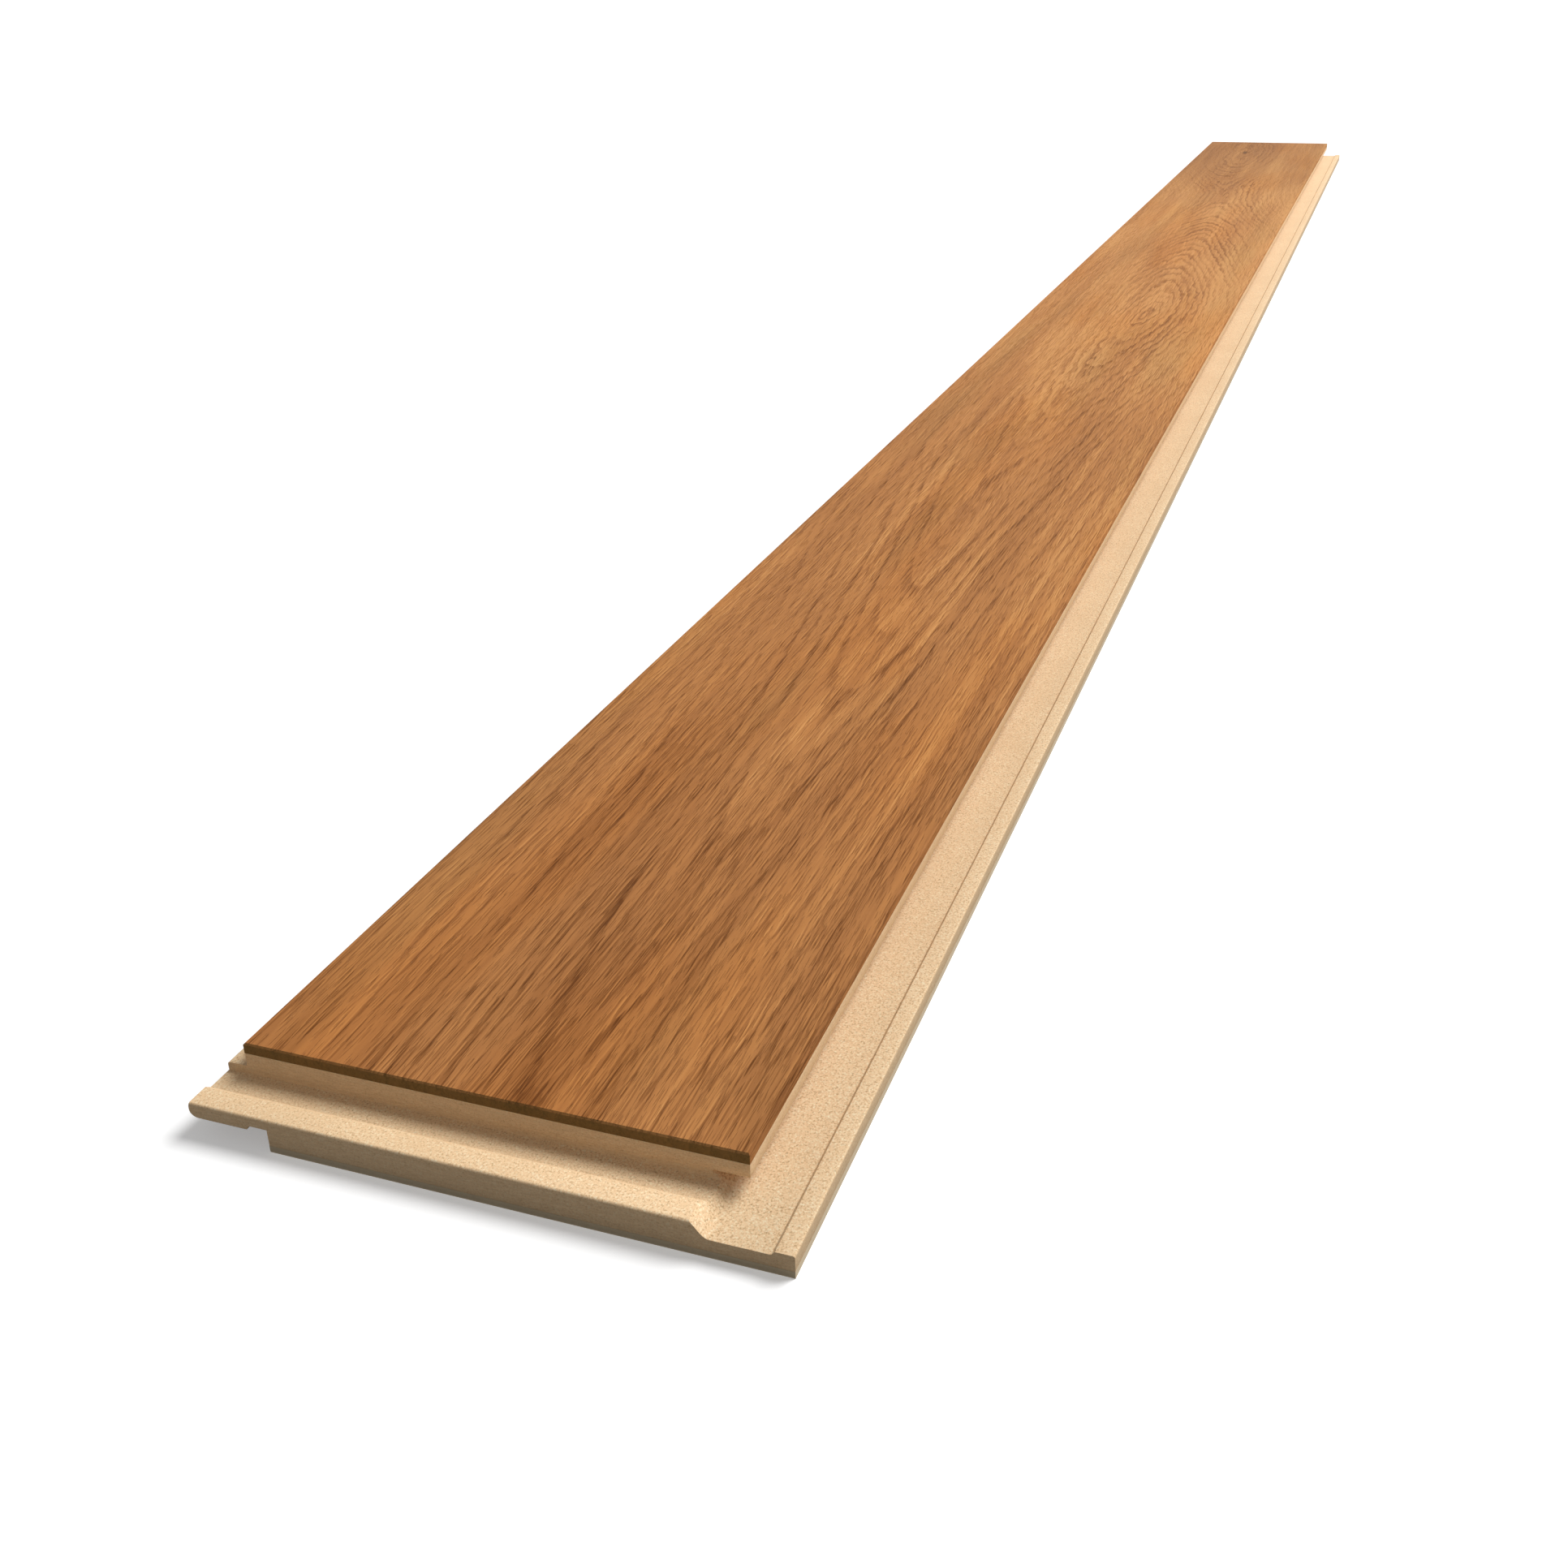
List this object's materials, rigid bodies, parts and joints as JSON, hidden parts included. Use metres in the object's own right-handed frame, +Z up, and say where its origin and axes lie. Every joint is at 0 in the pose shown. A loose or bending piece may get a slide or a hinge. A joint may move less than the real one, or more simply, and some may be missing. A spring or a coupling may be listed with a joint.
{
  "type": "wide plank floorboard",
  "caption": "Layered wide plank floorboard: wood face veneer glued on a fibreboard core with milled click edges and a pale backing veneer beneath; boards lock edge to edge into a floor.",
  "frame": {"origin": "centre of the bounding box at floor level, under the board as it lies flat on its backing", "axes": "+Y along the length towards the end with the overhang, +X across towards the edge with the locking strip, +Z up out of the face veneer"},
  "size_m": [0.148, 1.8454, 0.016],
  "materials": {
    "face_veneer": "matt lacquered",
    "core_board": "raw milled fibreboard",
    "backing_veneer": "raw sanded"
  },
  "bodies": {
    "root": {"face_veneer": "face_veneer", "core_board": "core_board", "backing_veneer": "backing_veneer"}
  },
  "joints": []
}
